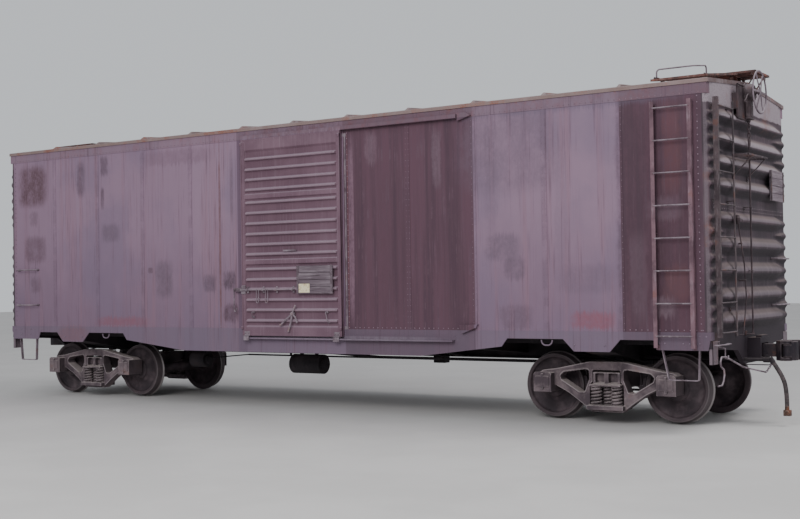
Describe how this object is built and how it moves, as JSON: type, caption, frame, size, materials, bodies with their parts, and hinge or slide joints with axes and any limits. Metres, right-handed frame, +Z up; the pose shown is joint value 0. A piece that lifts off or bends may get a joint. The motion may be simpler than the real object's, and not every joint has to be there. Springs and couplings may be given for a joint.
{
  "type": "railroad boxcar",
  "caption": "Weathered steel railroad boxcar with sliding ribbed side doors, corrugated ends, hand brake, couplers and two swivelling trucks on flanged wheels.",
  "frame": {"origin": "on the floor under the car's centre, at the lowest points of the wheel flanges, 25 mm under the top of the rail", "axes": "+X along the car towards the hand-brake end, +Z up, the near side at -Y"},
  "size_m": [13.612, 3.204, 4.3958],
  "materials": {
    "side_paint": "faded, chalky, rust stained",
    "door_paint": "faded, chalky",
    "end_paint": "faded, sooty",
    "ladder_paint": "faded, rusty edges",
    "roof_metal": "faded, rusting",
    "rusted_walk": "rusted",
    "brake_iron": "dusty, rusted",
    "weathered_wood": "weathered grey planks",
    "floor_wood": "worn planks",
    "underframe_black": "sooty, dusty",
    "cast_steel": "dusty, oily",
    "wheel_steel": "dark, oily, bright at the tread",
    "coupler_steel": "dusty, rusted",
    "hose_rubber": "dull",
    "glad_hand_iron": "rusted"
  },
  "bodies": {
    "carbody": {"air_brake_units": "underframe_black", "air_hose_a": "hose_rubber", "air_hose_b": "hose_rubber", "body_bolsters": "underframe_black", "brake_housing": "brake_iron", "brake_rods": "brake_iron", "brake_step": "brake_iron", "brake_wheel": "brake_iron", "center_sill": "underframe_black", "corner_posts": "side_paint", "crossbearers": "underframe_black", "door_posts": "side_paint", "door_tracks": "side_paint", "end_panels_lower": "end_paint", "end_panels_upper": "end_paint", "end_sills": "end_paint", "end_tack_boards": "weathered_wood", "floor": "floor_wood", "floor_stringers": "underframe_black", "glad_hand_a": "glad_hand_iron", "glad_hand_b": "glad_hand_iron", "grab_irons": "ladder_paint", "ladders": "ladder_paint", "roof": "roof_metal", "running_boards": "rusted_walk", "side_panels_far": "side_paint", "side_panels_near": "side_paint", "side_plates": "side_paint", "side_sills": "side_paint", "sill_steps": "ladder_paint", "train_line": "underframe_black", "uncoupling_levers": "ladder_paint", "underframe_rods": "underframe_black"},
    "coupler_a": {"coupler_a": "coupler_steel"},
    "coupler_b": {"coupler_b": "coupler_steel"},
    "door_far": {"door_far": "door_paint", "door_far_tack_board": "weathered_wood"},
    "door_near": {"door_near": "door_paint", "door_near_tack_board": "weathered_wood"},
    "knuckle_a": {"knuckle_a": "coupler_steel"},
    "knuckle_b": {"knuckle_b": "coupler_steel"},
    "truck_a": {"truck_a_bolster": "cast_steel", "truck_a_brake_gear": "cast_steel", "truck_a_journal_lids": "cast_steel", "truck_a_side_frames": "cast_steel", "truck_a_springs": "cast_steel"},
    "truck_b": {"truck_b_bolster": "cast_steel", "truck_b_brake_gear": "cast_steel", "truck_b_journal_lids": "cast_steel", "truck_b_side_frames": "cast_steel", "truck_b_springs": "cast_steel"},
    "wheelset_a_inner": {"wheelset_a_inner": "wheel_steel"},
    "wheelset_a_outer": {"wheelset_a_outer": "wheel_steel"},
    "wheelset_b_inner": {"wheelset_b_inner": "wheel_steel"},
    "wheelset_b_outer": {"wheelset_b_outer": "wheel_steel"}
  },
  "joints": [
    {"name": "door_near_slide", "type": "slide", "parent": "carbody", "child": "door_near", "axis": [1, 0, 0], "range_m": [0, 1.85]},
    {"name": "door_far_slide", "type": "slide", "parent": "carbody", "child": "door_far", "axis": [-1, 0, 0], "range_m": [0, 1.85]},
    {"name": "truck_b_swivel", "type": "hinge", "parent": "carbody", "child": "truck_b", "pos_m": [4.668, 0, 0.654], "axis": [0, 0, 1], "range_deg": [-6, 6]},
    {"name": "wheelset_b_outer_spin", "type": "hinge", "parent": "truck_b", "child": "wheelset_b_outer", "pos_m": [5.506, 0, 0.444], "axis": [0, 1, 0], "continuous": true},
    {"name": "wheelset_b_inner_spin", "type": "hinge", "parent": "truck_b", "child": "wheelset_b_inner", "pos_m": [3.83, 0, 0.444], "axis": [0, 1, 0], "continuous": true},
    {"name": "coupler_b_swing", "type": "hinge", "parent": "carbody", "child": "coupler_b", "pos_m": [5.95, 0, 0.901], "axis": [0, 0, 1], "range_deg": [-6, 6]},
    {"name": "knuckle_b_open", "type": "hinge", "parent": "coupler_b", "child": "knuckle_b", "pos_m": [6.668, -0.104, 0.901], "axis": [0, 0, -1], "range_deg": [0, 45]},
    {"name": "truck_a_swivel", "type": "hinge", "parent": "carbody", "child": "truck_a", "pos_m": [-4.668, 0, 0.654], "axis": [0, 0, 1], "range_deg": [-6, 6]},
    {"name": "wheelset_a_outer_spin", "type": "hinge", "parent": "truck_a", "child": "wheelset_a_outer", "pos_m": [-5.506, 0, 0.444], "axis": [0, 1, 0], "continuous": true},
    {"name": "wheelset_a_inner_spin", "type": "hinge", "parent": "truck_a", "child": "wheelset_a_inner", "pos_m": [-3.83, 0, 0.444], "axis": [0, 1, 0], "continuous": true},
    {"name": "coupler_a_swing", "type": "hinge", "parent": "carbody", "child": "coupler_a", "pos_m": [-5.95, 0, 0.901], "axis": [0, 0, 1], "range_deg": [-6, 6]},
    {"name": "knuckle_a_open", "type": "hinge", "parent": "coupler_a", "child": "knuckle_a", "pos_m": [-6.668, 0.104, 0.901], "axis": [0, 0, -1], "range_deg": [0, 45]}
  ]
}
